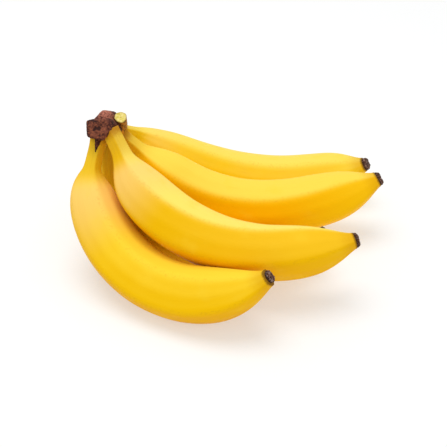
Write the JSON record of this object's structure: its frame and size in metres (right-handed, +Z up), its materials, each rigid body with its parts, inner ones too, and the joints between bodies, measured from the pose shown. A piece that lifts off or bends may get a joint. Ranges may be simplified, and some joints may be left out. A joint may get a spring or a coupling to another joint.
{
  "type": "bunch of bananas",
  "caption": "Ripe yellow bananas on one woody crown, curved bodies lying on their bellies with dark blossom tips, and a freshly cut stub beside the crown.",
  "frame": {"origin": "the middle of the underside of the bounding box, on the surface the bunch lies on", "axes": "+X runs from the crown towards the blossom tips, the longest extent; +Z is up; +Y runs from the front finger to the back finger"},
  "size_m": [0.2214, 0.1884, 0.1058],
  "materials": {
    "peel_front": "ripe banana peel, satin, no spots",
    "peel_second": "ripe banana peel, satin, paler on its top side",
    "peel_third": "ripe banana peel, satin, deeper yellow on its side",
    "peel_back": "ripe banana peel, satin",
    "peel_under": "ripe banana peel, satin, mostly in shade",
    "blossom_tip": "dried and wrinkled, matte",
    "crown": "dried cut stalk, rough and pitted, matte",
    "cut_stub": "freshly cut stalk, moist and fibrous"
  },
  "bodies": {
    "root": {"finger_front": "peel_front", "finger_second": "peel_second", "finger_third": "peel_third", "finger_back": "peel_back", "finger_under": "peel_under", "blossom_tip_front": "blossom_tip", "blossom_tip_second": "blossom_tip", "blossom_tip_third": "blossom_tip", "blossom_tip_back": "blossom_tip", "blossom_tip_under": "blossom_tip", "crown": "crown", "cut_stub": "cut_stub"}
  },
  "joints": []
}
